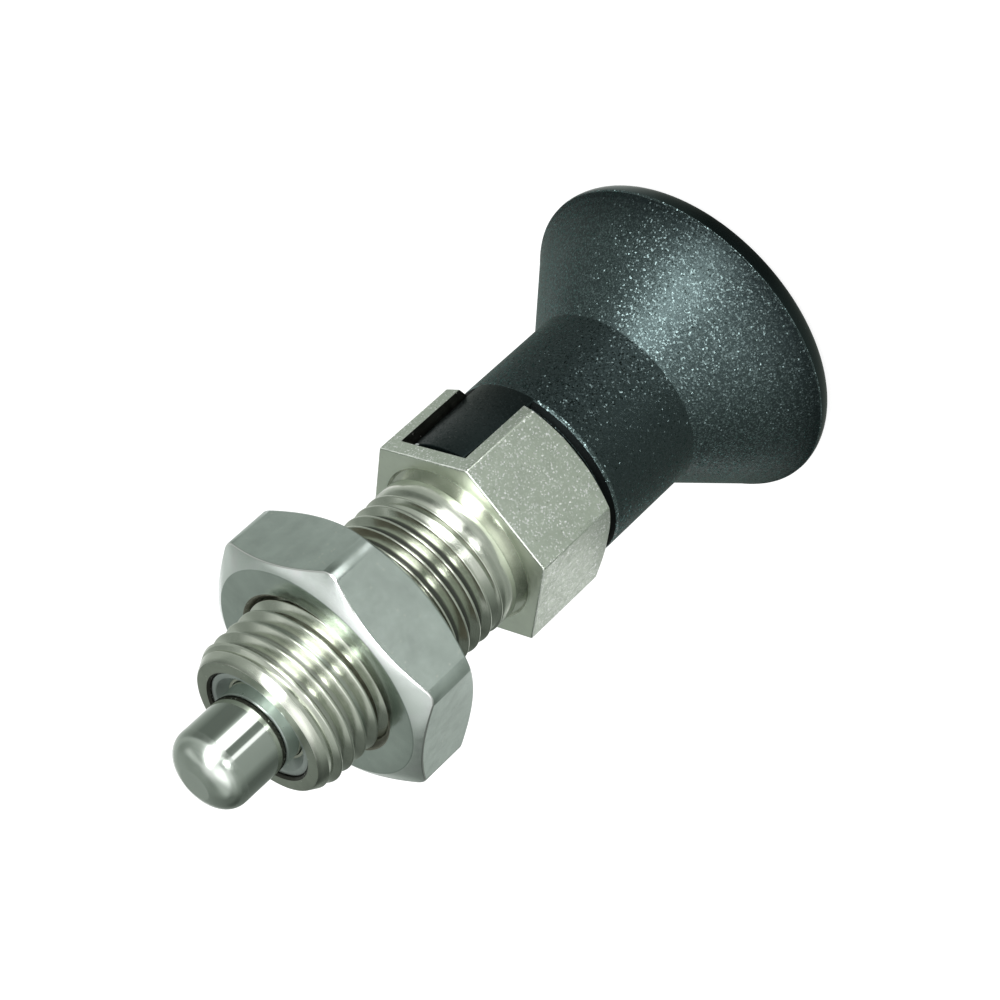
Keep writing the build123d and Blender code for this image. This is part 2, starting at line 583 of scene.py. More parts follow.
# ------------------------------------------------------------------ finishes
@dataclass(frozen=True)
class Finish:
    """What every finish has: a name, a base colour and a roughness."""

    name: str
    colour: Colour
    roughness: float

    def looks(self, sheet: Sheet, place: Socket) -> dict[str, Value]:
        """Gives what the shader's sockets get, besides the base colour and the roughness."""
        return {}

    def uneven(self, sheet: Sheet, noise: Socket, spread: float) -> Socket:
        """Spreads the roughness by a share of itself, where a noise goes up and down."""
        ends = ((1 - spread) * self.roughness, (1 + spread) * self.roughness)
        return sheet.remap(noise, (0.3, 0.7), ends)

    def make(self) -> bpy.types.Material:
        """Makes the material.

        Returns:
            The material, wired on the place on the piece.
        """
        material = bpy.data.materials.new(self.name)
        material.use_nodes = True
        sheet = Sheet(material.node_tree)
        shader = material.node_tree.nodes["Principled BSDF"]
        plain = {"Base Color": self.colour, "Roughness": self.roughness}
        looks = self.looks(sheet, sheet.add("TexCoord")["Object"])
        for key, value in (*plain.items(), *looks.items()):
            sheet.put(value, shader.inputs[key])
        return material


@dataclass(frozen=True)
class Steel(Finish):
    """Bare steel: grain, painted glints, turning marks, faint clouds of tone and painted shade in
    the thread's roots.
    """

    # painted_glint: the lighter colour that the painted glints and the rarest facets are blended
    # towards.
    painted_glint: Colour = (0.70, 0.72, 0.66)
    glint_share: float = 0.05
    glint_scale: float = 5200.0
    grain_depth: float = 2.0e-6
    turning_depth: float = 0.0
    turning_scale: float = 9000.0
    turning_detail: float = 3.0
    cloud: float = 0.10
    cloud_scale: float = 420.0
    patch_scale: float = 1500.0
    tilt: float = 0.0
    facet_scale: float = 6500.0
    facet_contrast: float = 1.8
    # Painted shade in the thread's roots: below root_radius the colour is darkened, fading out over
    # root_reach; darkest near the head, lightest towards the pin end, across root_shade_fade.
    root_radius: float = 0.0
    root_reach: float = 0.00014
    root_shade_tones: Range = (0.14, 0.70)
    root_shade_fade: Range = (0.012, 0.019)

    def looks(self, sheet: Sheet, place: Socket) -> dict[str, Value]:
        """Wires the steel's colour, roughness and normal.

        Args:
            sheet: the material's wiring sheet.
            place: the place on the piece.

        Returns:
            What the shader's sockets get.
        """
        spots = Effect.GLINTS.placed(sheet, place, self.glint_scale, self.glint_share)
        tones = (1.0 - self.cloud, 1.0 + self.cloud)
        tone = sheet.remap(sheet.noise(place, self.cloud_scale, 3.0), (0.3, 0.7), tones)
        grey = sheet.add("CombineColor", {0: tone, 1: tone, 2: tone})[0]
        shade = sheet.blend(1.0, self.colour, grey, "MULTIPLY")
        # Painted glints: round spots in a share of the grain's cells are lightened towards
        # painted_glint.
        colour = sheet.blend(spots["Glint"], shade, self.painted_glint)
        layers = [(spots["Grain"], self.grain_depth)]
        tilted = None
        if self.turning_depth:
            marks = Effect.TURNING.placed(sheet, place, self.turning_scale, self.turning_detail)
            layers.append((marks["Height"], self.turning_depth))
            if self.root_radius:
                # Painted shade in the thread's roots.
                colour = self.shaded_roots(sheet, place, marks["Radius"], colour)
        if self.tilt:
            grains = Effect.FACETS.placed(sheet, place, self.facet_scale, self.tilt)
            # Painted glints: the rarer a facet's tilt, the more its colour is lightened towards
            # painted_glint.
            bright = sheet.maths("POWER", grains["Rare"], self.facet_contrast)
            colour = sheet.blend(bright, colour, self.painted_glint)
            tilted = grains["Normal"]
        patches = sheet.noise(place, self.patch_scale, 4.0)
        return {
            "Metallic": 1.0, "Base Color": colour, "Roughness": self.uneven(sheet, patches, 0.2),
            "Normal": sheet.bumped(layers, tilted),
        }

    def shaded_roots(self, sheet: Sheet, place: Socket, radius: Socket, colour: Socket) -> Socket:
        """Paints shade into the thread's roots, lighter towards the pin end.

        Args:
            sheet: the material's wiring sheet.
            place: the place on the piece.
            radius: the distance from the axis.
            colour: the colour of the crests and flanks.

        Returns:
            The colour with painted shade in the roots.
        """
        height = sheet.add("SeparateXYZ", {0: place})[2]
        root = sheet.remap(height, self.root_shade_fade, self.root_shade_tones)
        rim = (self.root_radius, self.root_radius + self.root_reach)
        outside = sheet.remap(radius, rim, (0.0, 1.0))
        return sheet.blend(1.0, colour, sheet.blend(outside, root, WHITE), "MULTIPLY")


@dataclass(frozen=True)
class Moulded(Finish):
    """Moulded plastic, with a spark-eroded grain or without one, and with painted glitter in rare
    lighter, metallic cells or without it.
    """

    grain_depth: float = 1.0e-5
    grain_scale: float = 4200.0
    cloud: float = 0.2
    cloud_scale: float = 300.0
    facet_scale: float = 8000.0
    tilt: float = 0.0
    specular: float = 0.9
    tint: Colour = (0.72, 1.0, 1.0)
    # glitter: how light the painted glitter cells are; glitter_tint: their tint.
    glitter: float = 0.0
    glitter_tint: Colour = (0.74, 1.0, 1.0)
    glitter_rarity: Range = (0.06, 0.38)
    glitter_smoothness: float = 0.75

    def looks(self, sheet: Sheet, place: Socket) -> dict[str, Value]:
        """Wires the plastic's colour, roughness, flecks and normal.

        Args:
            sheet: the material's wiring sheet.
            place: the place on the piece.

        Returns:
            What the shader's sockets get.
        """
        fine = sheet.noise(place, self.grain_scale, 2.0, 0.6)
        tones = (self.toned(self.colour, 1 - self.cloud), self.toned(self.colour, 1 + self.cloud))
        tone = sheet.blend(sheet.noise(place, self.cloud_scale), *tones)
        rough = self.uneven(sheet, fine, 0.1)
        looks = {"Specular IOR Level": self.specular, "Specular Tint": self.tint}
        tilted = None
        if self.tilt:
            grains = Effect.FACETS.placed(sheet, place, self.facet_scale, self.tilt)
            tilted = grains["Normal"]
        # Painted glitter: rare cells are made lighter, metallic and smoother, so that they sparkle
        # where the light falls.
        if self.glitter:
            glitter_cell = sheet.remap(grains["Rare"], self.glitter_rarity, (0.0, 1.0))
            tone = sheet.blend(glitter_cell, tone, self.toned(self.glitter_tint, self.glitter))
            smoother = sheet.remap(glitter_cell, (0.0, 1.0), (1.0, self.glitter_smoothness))
            rough = sheet.maths("MULTIPLY", rough, smoother)
            looks["Metallic"] = glitter_cell
        normal = sheet.bumped([(fine, self.grain_depth)], tilted)
        return {**looks, "Base Color": tone, "Roughness": rough, "Normal": normal}

    @staticmethod
    def toned(colour: Colour, share: float) -> Colour:
        """Gives a colour lighter or darker by a share."""
        return tuple(share * c for c in colour)


@dataclass(frozen=True)
class Palette:
    """The finishes of this object's pieces."""

    head: Steel = Steel(
        "milled_head_steel", (0.53, 0.585, 0.50), 0.34, painted_glint=WHITE, glint_share=0.0,
        grain_depth=1.0e-6, cloud=0.05, tilt=0.10, facet_scale=7000.0,
    )
    faced: Steel = Steel(
        "faced_head_steel", (0.78, 0.83, 0.73), 0.36, glint_share=0.01, grain_depth=1.0e-6,
        turning_depth=2.0e-6, cloud=0.05,
    )
    # Painted shade: the slot's walls and floor get a near-black steel for the shade inside the
    # slot.
    slot: Steel = Steel(
        "slot_painted_shade_steel", (0.055, 0.060, 0.050), 0.45, glint_share=0.02, grain_depth=6.0e-6
    )
    # Painted highlight: the eased edges by the bearing face are real, and their near-white rough
    # steel is a painted bright line along them.
    eased_edge_highlight: Steel = Steel("eased_edge_highlight_steel", (0.92, 0.95, 0.90), 0.55, painted_glint=WHITE, grain_depth=6.0e-6)
    end: Steel = Steel(
        "thread_end_steel", (0.38, 0.41, 0.35), 0.34, glint_share=0.01, grain_depth=1.0e-6,
        turning_depth=2.0e-6,
    )
    barrel: Steel = Steel(
        "turned_thread_steel", (0.64, 0.67, 0.59), 0.20, glint_share=0.01, grain_depth=4.0e-7,
        turning_depth=1.5e-6, cloud=0.05, root_radius=0.00705,
    )
    # Painted shade: the nut's countersink and bore get a darker steel for the shade in the gap
    # round the thread.
    shaded_nut_bore: Steel = Steel("nut_bore_steel", (0.30, 0.29, 0.24), 0.40, turning_depth=3.0e-6)
    # Painted shade: the bore inside the barrel gets a near-black steel for the shade in it.
    bore: Steel = Steel("bore_painted_shade_steel", (0.07, 0.07, 0.06), 0.45, turning_depth=3.0e-6)
    bush: Steel = Steel(
        "bush_steel", (0.50, 0.54, 0.53), 0.34, glint_share=0.01, grain_depth=4.0e-7,
        turning_depth=1.0e-6, cloud=0.05,
    )
    pin: Steel = Steel(
        "ground_pin_steel", (0.65, 0.70, 0.65), 0.07, glint_share=0.0, grain_depth=1.0e-7,
        cloud=0.02,
    )
    bush_land: Steel = Steel("bush_land_steel", (0.55, 0.56, 0.48), 0.34, grain_depth=4.0e-7)
    pin_nose: Steel = Steel(
        "pin_nose_steel", (0.62, 0.67, 0.62), 0.22, glint_share=0.0, grain_depth=1.0e-7,
        turning_depth=3.0e-7, cloud=0.03,
    )
    spring: Steel = Steel("spring_wire_steel", (0.45, 0.45, 0.43), 0.30, grain_depth=5.0e-7)
    # Painted highlight: the nut's front chamfer gets a near-white steel, lighter than the nut, for
    # the light on it.
    nut_chamfer_highlight: Steel = Steel(
        "nut_chamfer_steel", (0.95, 1.0, 0.98), 0.22, painted_glint=WHITE, glint_share=0.01,
        grain_depth=4.0e-7, cloud=0.04,
    )
    # Painted highlight: the rounded edges round the nut's front get white, smooth steel, for bright
    # lines along them.
    nut_edge_highlight: Steel = Steel(
        "nut_edge_steel", WHITE, 0.12, painted_glint=WHITE, glint_share=0.0, grain_depth=1.0e-7, cloud=0.02
    )
    # Painted shade: the nut's back face, towards the head, gets a dark brown steel for the shade
    # there, which the thread behind the nut mirrors.
    shaded_nut_back: Steel = Steel("nut_back_steel", (0.20, 0.18, 0.14), 0.40, grain_depth=1.0e-6)
    nut: Steel = Steel(
        "nut_steel", (0.535, 0.60, 0.565), 0.21, glint_share=0.015, grain_depth=8.0e-7, cloud=0.08
    )
    flare: Moulded = Moulded(
        "flare_painted_shade", (0.004, 0.0065, 0.007), 0.38, tilt=0.44, specular=0.70, glitter=0.16
    )
    sleeve: Moulded = Moulded(
        "sleeve_plastic", (0.006, 0.0095, 0.010), 0.32, tilt=0.38, specular=0.50, glitter=0.075
    )
    bar: Moulded = Moulded("bar_plastic", (0.004, 0.0065, 0.0065), 0.30, tilt=0.20, specular=0.27)
    # Painted highlight: the parting line and the sleeve's lower edge get a lighter, glossier
    # plastic with strong glitter, for the bright sparkling lines there.
    knob_edge_highlight: Moulded = Moulded(
        "knob_edge_highlight_plastic", (0.012, 0.016, 0.016), 0.30, tilt=0.90, specular=1.0, glitter=0.25
    )
    # Painted highlight: a light grey patch on the bar's lower corner, for a glint of light there.
    corner_highlight: Moulded = Moulded("corner_highlight_plastic", (0.55, 0.60, 0.58), 0.35, tilt=0.90)
    shaded: Moulded = Moulded("shaded_plastic", (0.002, 0.002, 0.002), 0.50, specular=0.08)
    rim: Moulded = Moulded("rim_plastic", (0.003, 0.005, 0.005), 0.18, grain_depth=5.0e-7)

    def rim_shading(self, step: int) -> Moulded:
        """Gives the flare's finish nearer to the rim: painted shade, with less specular and less
        glitter at each step, that darkens the flare towards the rim.
        """
        specular, glitter = 0.56 - 0.10 * step, 0.135 - 0.022 * step
        return replace(self.flare, name=f"flare_painted_shade_{step}", specular=specular, glitter=glitter)


def over(low: float) -> Range:
    """Gives the range above a number."""
    return (low, math.inf)


def under(high: float) -> Range:
    """Gives the range below a number."""
    return (-math.inf, high)


@dataclass(frozen=True)
class Zone:
    """Where a finish goes: ranges of a face's place and of the way that it faces.

    x, y and z are its centre, aside is its distance from the slot's middle plane, and radius the
    one from the axis. along, up and inward are its normal's parts along X, along Z and towards
    the axis.
    """

    x: Range = ANY
    y: Range = ANY
    z: Range = ANY
    aside: Range = ANY
    radius: Range = ANY
    along: Range = ANY
    up: Range = ANY
    inward: Range = ANY

    def holds(self, face: bmesh.types.BMFace) -> bool:
        """Tests a face.

        Args:
            face: the face.

        Returns:
            Whether it lies in the zone.
        """
        place, normal = face.calc_center_median(), face.normal
        radius = place.xy.length
        inward = -(normal.x * place.x + normal.y * place.y) / radius if radius else 0.0
        found = (*place, abs(place.y), radius, normal.x, normal.z, inward)
        asked = (self.x, self.y, self.z, self.aside, self.radius, self.along, self.up, self.inward)
        return all(low < value < high for value, (low, high) in zip(found, asked))


def dress(obj: Object, main: Finish, *others: tuple[Union[Finish, Zone], ...]) -> None:
    """Gives a piece its main finish, and some of its zones a finish of their own.

    Args:
        obj: the piece.
        main: the finish of all other faces.
        others: each further finish with its zones, where a later one goes over an earlier one.
    """
    for finish in (main, *(other[0] for other in others)):
        obj.data.materials.append(finish.make())
    with editing(obj):
        for index, (_, *zones) in enumerate(others, start=1):
            choose(obj, Element.FACE, lambda face: any(zone.holds(face) for zone in zones))
            obj.active_material_index = index
            bpy.ops.object.material_slot_assign()


# ------------------------------------------------------------------ threaded body
@dataclass
class ThreadedBody:
    """Hexagon head with its slot, and the threaded barrel with its stepped bore."""

    across_flats: float = 0.0190
    head_height: float = 0.0100
    turned_radius: float = 0.0094
    corner_slope: float = 0.5774
    edge_width: float = 0.00014
    slot_width: float = 0.0082
    slot_floor: float = -0.0015
    recess_radius: float = 0.0083
    recess_depth: float = 0.0003
    crest_radius: float = 0.00787
    root_radius: float = 0.00703
    pitch: float = 0.0015
    turns: int = 18
    crest_height: float = 0.0004296
    crest_flat: float = 0.00016
    relief_radius: float = 0.00732
    relief_width: float = 0.0010
    band_end: float = 0.0026
    runout_end: float = 0.0044
    length: float = 0.0260
    fading_length: float = 0.0026
    end_radius: float = 0.0070
    end_chamfer: float = 0.0016
    stem_hole: float = 0.00258
    chamber_radius: float = 0.0050
    chamber_floor: float = 0.0020
    bush_radius: float = 0.00565
    bush_seat: float = 0.0207
    mouth: float = 0.0002

    def thread_profile(self) -> list[Point]:
        """Draws one pitch of the thread, from root to root, with a rounded root and crest.

        Returns:
            Radius and height of each point.
        """
        ease = 0.00005
        root, crest, half = self.root_radius, self.crest_radius, self.pitch / 2
        crest_start = half - self.crest_flat / 2
        root_end = crest_start - (crest - root) * TAN_30
        points = [
            (root + 0.00002, 0.0),
            (root + 0.00003, root_end - 0.5 * ease),
            (root + 0.00009, root_end + 0.9 * ease),
            (crest - 0.00007, crest_start - 0.8 * ease),
            (crest - 0.000025, crest_start - 0.1 * ease),
            (crest - 0.000005, crest_start + 0.7 * ease),
            (crest, half),
        ]
        return points + [(r, self.pitch - z) for r, z in reversed(points[:-1])]

    def thread(self) -> Object:
        """Winds the thread's solid, longer than the barrel at both ends.

        Returns:
            A closed solid.
        """
        start = self.crest_height + self.pitch / 2
        top = start + self.turns * self.pitch
        obj = drawn("thread", [(r, z + start) for r, z in self.thread_profile()])
        with editing(wound(obj, self.pitch, self.turns, 128)):
            for level, above in ((start, False), (top, True)):
                choose_end(obj, (start + top) / 2, above)
                bpy.ops.mesh.extrude_edges_move(TRANSFORM_OT_translate={"value": (0, 0, 0)})
                bpy.ops.transform.resize(value=(0, 0, 0), center_override=(0, 0, level))
                bpy.ops.mesh.remove_doubles(threshold=WELD)
        return tidy(obj)

    def barrel(self) -> Object:
        """Makes the threaded barrel: thread, plain band, run-out, relief groove and chamfers.

        Returns:
            A closed solid.
        """
        obj = self.thread()
        groove, shoulder, crest = self.relief_radius, self.relief_width, self.crest_radius + 0.00001
        band = [
            (0, -OVERSHOOT),
            (groove, -OVERSHOOT),
            (groove, shoulder - 0.00035),
            (groove + 0.00010, shoulder - 0.00015),
            (crest - 0.00010, shoulder),
            (crest - 0.00003, shoulder + 0.00003),
            (crest, shoulder + 0.00010),
            (crest, self.band_end),
            (self.root_radius, self.runout_end),
            (0, self.runout_end),
        ]
        turned_cut(obj, Cut.ADD, band, 150)
        faded, end = self.crest_radius - 0.00042, self.length
        fill = [
            (0, end - self.fading_length),
            (self.root_radius - 0.00005, end - self.fading_length),
            (faded, end - 0.0009),
            (faded, end + OVERSHOOT),
            (0, end + OVERSHOOT),
        ]
        turned_cut(obj, Cut.ADD, fill, 170)
        slope = (self.crest_radius - self.end_radius) / self.end_chamfer
        wide = self.crest_radius + 0.0010
        limit = [
            (0, -0.0020),
            (wide, -0.0020),
            (wide, end - (wide - self.end_radius) / slope),
            (self.end_radius + 0.00006, end - 0.00011),
            (self.end_radius - 0.00005, end - 0.00002),
            (self.end_radius - 0.00016, end),
            (0, end),
        ]
        return turned_cut(obj, Cut.KEEP_COMMON, limit)

    def head(self) -> Object:
        """Makes the hexagon head with turned corners, the slot and the recess.

        Returns:
            A closed solid.
        """
        obj = hexagon("head", self.across_flats, -self.head_height, 0, 30)
        with editing(obj, True):
            bpy.ops.mesh.bevel(offset=self.edge_width, segments=2, affect="EDGES")
        back, recess = -self.head_height, self.recess_radius
        corner = corner_reach(self.across_flats) + OVERSHOOT
        limit = [
            (0, back),
            (self.turned_radius, back),
            (corner, back + (corner - self.turned_radius) * self.corner_slope),
            (corner, OVERSHOOT),
            (recess + 0.0003, OVERSHOOT),
            (recess + 0.0003, 0),
            (recess, -0.00002),
            (recess - 0.00025, -self.recess_depth),
            (0, -self.recess_depth),
        ]
        turned_cut(obj, Cut.KEEP_COMMON, limit)
        depth = 2 * self.head_height
        slot = started(
            "slot", bpy.ops.mesh.primitive_cube_add, size=1,
            location=(0, 0, self.slot_floor - depth / 2), scale=(0.04, self.slot_width, depth),
        )
        return cut(obj, slot, Cut.TAKE_AWAY)

    def build(self, palette: Palette) -> Object:
        """Builds and dresses the body.

        Args:
            palette: the finishes.

        Returns:
            The piece.
        """
        obj = cut(self.head(), self.barrel(), Cut.ADD)
        wide, end = self.bush_radius + self.mouth, self.length
        bore = [
            (0, -0.0030),
            (self.stem_hole, -0.0030),
            (self.stem_hole, self.chamber_floor),
            (self.chamber_radius, self.chamber_floor),
            (self.chamber_radius, self.bush_seat),
            (self.bush_radius, self.bush_seat),
            (self.bush_radius, end - self.mouth),
            (wide, end),
            (wide + OVERSHOOT, end + OVERSHOOT),
            (0, end + OVERSHOOT),
        ]
        tidy(turned_cut(obj, Cut.TAKE_AWAY, bore))
        obj.name = obj.data.name = "body_of_plunger"
        near, below_slot, recess = 1e-5, self.slot_floor + 1e-5, self.recess_radius
        eased = Zone(radius=over(recess + 0.0004), z=over(-1.1 * self.edge_width), up=(0.1, 0.9))
        slot = Zone(aside=under(self.slot_width / 2 + near), z=under(below_slot), along=(-0.5, 0.5))
        barrel = Zone(z=over(-self.recess_depth - 2 * near), radius=under(recess + near))
        dress(
            obj,
            palette.head,
            # Painted highlight on the eased edges.
            (palette.eased_edge_highlight, eased),
            # Painted shade inside the slot.
            (palette.slot, slot),
            (palette.barrel, barrel),
            (palette.end, Zone(z=over(end - 3 * near), up=over(0.9))),
            # Painted shade inside the bore.
            (palette.bore, Zone(z=over(below_slot), radius=under(wide), inward=over(0.3))),
            (palette.faced, Zone(z=(-2 * near, 2 * near), up=over(0.9))),
        )
        smooth(obj, 28, flats=1.0e-5)
        return finish_piece(obj, "body", "threaded_body")


# ------------------------------------------------------------------ bush, pin and spring
@dataclass
class GuideBush:
    """The ring pressed into the end of the barrel."""

    radius: float = 0.00565
    bore: float = 0.00405
    seat: float = 0.0207
    face: float = 0.0257
    countersink: float = 0.00505
    countersink_depth: float = 0.0009
    land: float = 0.00022

    def build(self, palette: Palette) -> Object:
        """Builds and dresses the bush.

        Args:
            palette: the finishes.

        Returns:
            The piece.
        """
        radius, face, sink = self.radius, self.face, self.countersink
        foot, lip = face - self.countersink_depth, self.bore + 0.00005
        outline = [
            (self.bore, self.seat),
            (radius - 0.0001, self.seat),
            (radius, self.seat + 0.0001),
            (radius, face - 0.00025),
            (radius - 0.00003, face - 0.00012),
            (radius - 0.00012, face - 0.00002),
            (radius - 0.00020, face),
            (sink + 0.00005, face),
            (sink - 0.00003, face - 0.00003),
            (sink - 0.00008, face - 0.00009),
            (lip + self.land, foot + 0.00002),
            (lip, foot),
            (self.bore, foot - 0.00010),
        ]
        obj = turned("guide_ring", outline, closed=True)
        land = Zone(radius=under(lip + self.land), z=over(self.seat + 0.001), up=over(0.3))
        dress(obj, palette.bush, (palette.bush_land, land))
        smooth(obj, 32)
        return finish_piece(obj, "body", "guide_bush")


@dataclass
class LockingPin:
    """The ground pin with its collar and stem."""

    radius: float = 0.0040
    tip: float = 0.03365
    nose_start: float = 0.0312
    nose_height: float = 0.0026
    nose_steps: int = 20
    fullness: float = 2.3
    collar_radius: float = 0.0049
    collar_low: float = 0.0187
    collar_high: float = 0.0207
    collar_edge: float = 0.0003
    stem_radius: float = 0.0025
    stem_edge: float = 0.0004
    stem_end: float = -0.0280

    def nose(self, step: int) -> Point:
        """Gives a point of the rounded nose, from the shank to its small flat front.

        Args:
            step: the point's number.

        Returns:
            Its radius and height.
        """
        rise = self.tip - self.nose_start
        share = (rise / self.nose_height) * math.sin(math.pi / 2 * step / self.nose_steps)
        across = (1 - share**self.fullness) ** (1 / self.fullness)
        return (self.radius * across, self.nose_start + self.nose_height * share)

    def build(self, palette: Palette) -> Object:
        """Builds and dresses the pin.

        Args:
            palette: the finishes.

        Returns:
            The piece.
        """
        stem, collar, edge = self.stem_radius, self.collar_radius, self.collar_edge
        outline = [
            (0, self.stem_end),
            (stem - self.stem_edge, self.stem_end),
            (stem, self.stem_end + self.stem_edge),
            (stem, self.collar_low),
            (collar - edge, self.collar_low),
            (collar, self.collar_low + edge),
            (collar, self.collar_high - edge),
            (collar - edge, self.collar_high),
            (self.radius, self.collar_high),
            *(self.nose(step) for step in range(self.nose_steps + 1)),
            (0, self.tip),
        ]
        obj = turned("index_pin", outline)
        dress(obj, palette.pin, (palette.pin_nose, Zone(z=over(self.nose_start + 1e-5))))
        smooth(obj, 6)
        return finish_piece(obj, "plunger", "locking_pin")


@dataclass
class ReturnSpring:
    """The compression spring in the body's chamber."""

    wire_radius: float = 0.00045
    coil_radius: float = 0.00415
    low: float = 0.0020
    high: float = 0.0187
    turns: int = 7
    stroke: float = 0.0082

    def build(self, palette: Palette) -> Object:
        """Builds and dresses the spring.

        Args:
            palette: the finishes.

        Returns:
            The piece.
        """
        obj = started(
            "coil_spring", bpy.ops.mesh.primitive_circle_add, vertices=16, radius=self.wire_radius,
            location=(self.coil_radius, 0, self.low + self.wire_radius),
            rotation=(math.radians(90), 0, 0),
        )
        rise = (self.high - self.low - 2 * self.wire_radius) / self.turns
        with editing(wound(obj, rise, self.turns, 64)):
            for above in (False, True):
                choose_end(obj, (self.low + self.high) / 2, above)
                bpy.ops.mesh.edge_face_add()
        smooth(tidy(obj), 40)
        dress(obj, palette.spring)
        piece = finish_piece(obj, "body", "return_spring")
        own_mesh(piece)
        return piece


# ------------------------------------------------------------------ knob
@dataclass
class PullKnob:
    """Sleeve, flare and rim with the bar across the foot, moulded in one."""

    foot: float = -0.0104
    sleeve_radius: float = 0.0095
    chamfer_width: float = 0.0005
    chamfer_length: float = 0.0007
    flare_start: float = -0.02243
    rim_radius: float = 0.01669
    rim_level: float = -0.03215
    edge_radius: float = 0.00285
    top: float = -0.0350
    bar_foot: float = -0.0020
    bar_half_width: float = 0.00355
    bar_draft: float = 2.7
    bar_root: float = 0.0009
    hole_radius: float = 0.0025
    hole_end: float = -0.0280
    # Width of the painted highlight band along the sleeve's lower edge.
    highlight_width: float = 0.00028
    # Heights at which the flare's painted shade steps begin, darker towards the rim.
    rim_shading: tuple[float, ...] = (-0.0285, -0.0295, -0.0303, -0.0310, -0.0316)

    def flare_radius(self, level: float) -> float:
        """Gives the flare's radius at a height."""
        share = (self.flare_start - level) / (self.flare_start - self.rim_level)
        return self.sleeve_radius + share * (self.rim_radius - self.sleeve_radius)

    def shell(self) -> Object:
        """Turns the sleeve, flare, parting line, rounded rim and top.

        Returns:
            A closed solid.
        """
        sleeve, rim, level = self.sleeve_radius, self.rim_radius, self.rim_level
        chamfer, edge = sleeve - self.chamfer_width, self.foot - self.chamfer_length
        line = rim - 0.00004
        groove = line - 0.00005
        outline = [
            (0, self.foot),
            (chamfer - 0.00005, self.foot),
            (chamfer + 0.00003, self.foot - 0.00006),
            (sleeve - 0.00006, edge + 0.00010),
            (sleeve, edge - 0.00012),
            (sleeve, edge - self.highlight_width),
            (sleeve, self.flare_start + 0.00008),
            (sleeve + 0.00008, self.flare_start - 0.00010),
            *((self.flare_radius(z), z) for z in self.rim_shading),
            (rim - 0.00012, level + 0.00022),
            (line, level + 0.00010),
            (line, level + 0.00004),
            (groove, level + 0.00001),
            (groove, level - 0.00006),
            (rim - 0.00002, level - 0.00010),
            *arc((rim - self.edge_radius, level), self.edge_radius, -4, -90, 20),
            (0, self.top),
        ]
        return turned("knob_shell", outline, 256)

    def bar(self) -> Object:
        """Makes the bar with its drafted sides, its ends on the sleeve's radius.

        Returns:
            A closed solid.
        """
        height, low = self.bar_foot - self.foot, self.foot - self.bar_root
        long, wide, high = 2.4 * self.sleeve_radius, 2 * self.bar_half_width, height + self.bar_root
        obj = started(
            "bar", bpy.ops.mesh.primitive_cube_add, size=1, location=(0, 0, low + high / 2),
            scale=(long, wide, high),
        )
        narrowing = height * math.tan(math.radians(self.bar_draft))
        share = (self.bar_half_width - narrowing) / self.bar_half_width
        with editing(obj):
            choose(obj, Element.FACE, lambda f: f.normal.z > 0.9)
            bpy.ops.transform.resize(value=(1, share, 1), center_override=(0, 0, self.bar_foot))
        sleeve, above = self.sleeve_radius, self.bar_foot + 0.001
        turned_cut(obj, Cut.KEEP_COMMON, [(0, low), (sleeve, low), (sleeve, above), (0, above)])
        return soften(obj, 0.00030, 3, 40)

    def build(self, palette: Palette) -> Object:
        """Builds and dresses the knob.

        Args:
            palette: the finishes.

        Returns:
            The piece.
        """
        obj = cut(self.shell(), self.bar(), Cut.ADD)
        hole, end, above = self.hole_radius, self.hole_end, self.bar_foot + 0.001
        turned_cut(obj, Cut.TAKE_AWAY, [(0, end), (hole, end), (hole, above), (0, above)], 96)
        obj.name = obj.data.name = "pull_knob"
        edge, foot, side = self.foot - self.chamfer_length, self.foot + 1e-6, self.bar_half_width
        line = Zone(z=(self.rim_level - 0.0001, self.rim_level + 0.0001))
        painted_glint = (edge - self.highlight_width, edge + 0.0001)
        lower_edge = Zone(z=painted_glint, aside=over(side + 0.0002), up=(-0.5, 0.5))
        low = self.bar_foot - 0.0006
        corner = Zone(over(0.0075), over(side - 0.0011), over(low), up=(0.05, 0.98))
        dress(
            tidy(obj),
            palette.flare,
            # Painted shade: the flare darkens in steps towards the rim.
            *((palette.rim_shading(i), Zone(z=under(level))) for i, level in enumerate(self.rim_shading)),
            (palette.sleeve, Zone(z=(self.flare_start, edge))),
            (palette.bar, Zone(z=over(foot))),
            (palette.rim, Zone(z=under(self.rim_level - 0.00002))),
            (palette.shaded, Zone(z=(edge, foot), radius=over(self.sleeve_radius - 0.0005))),
            # Painted highlight on the parting line and the sleeve's lower edge.
            (palette.knob_edge_highlight, line, lower_edge),
            # Painted highlight on the bar's lower corner.
            (palette.corner_highlight, corner),
        )
        smooth(obj, 28)
        return finish_piece(obj, "plunger", "knob")


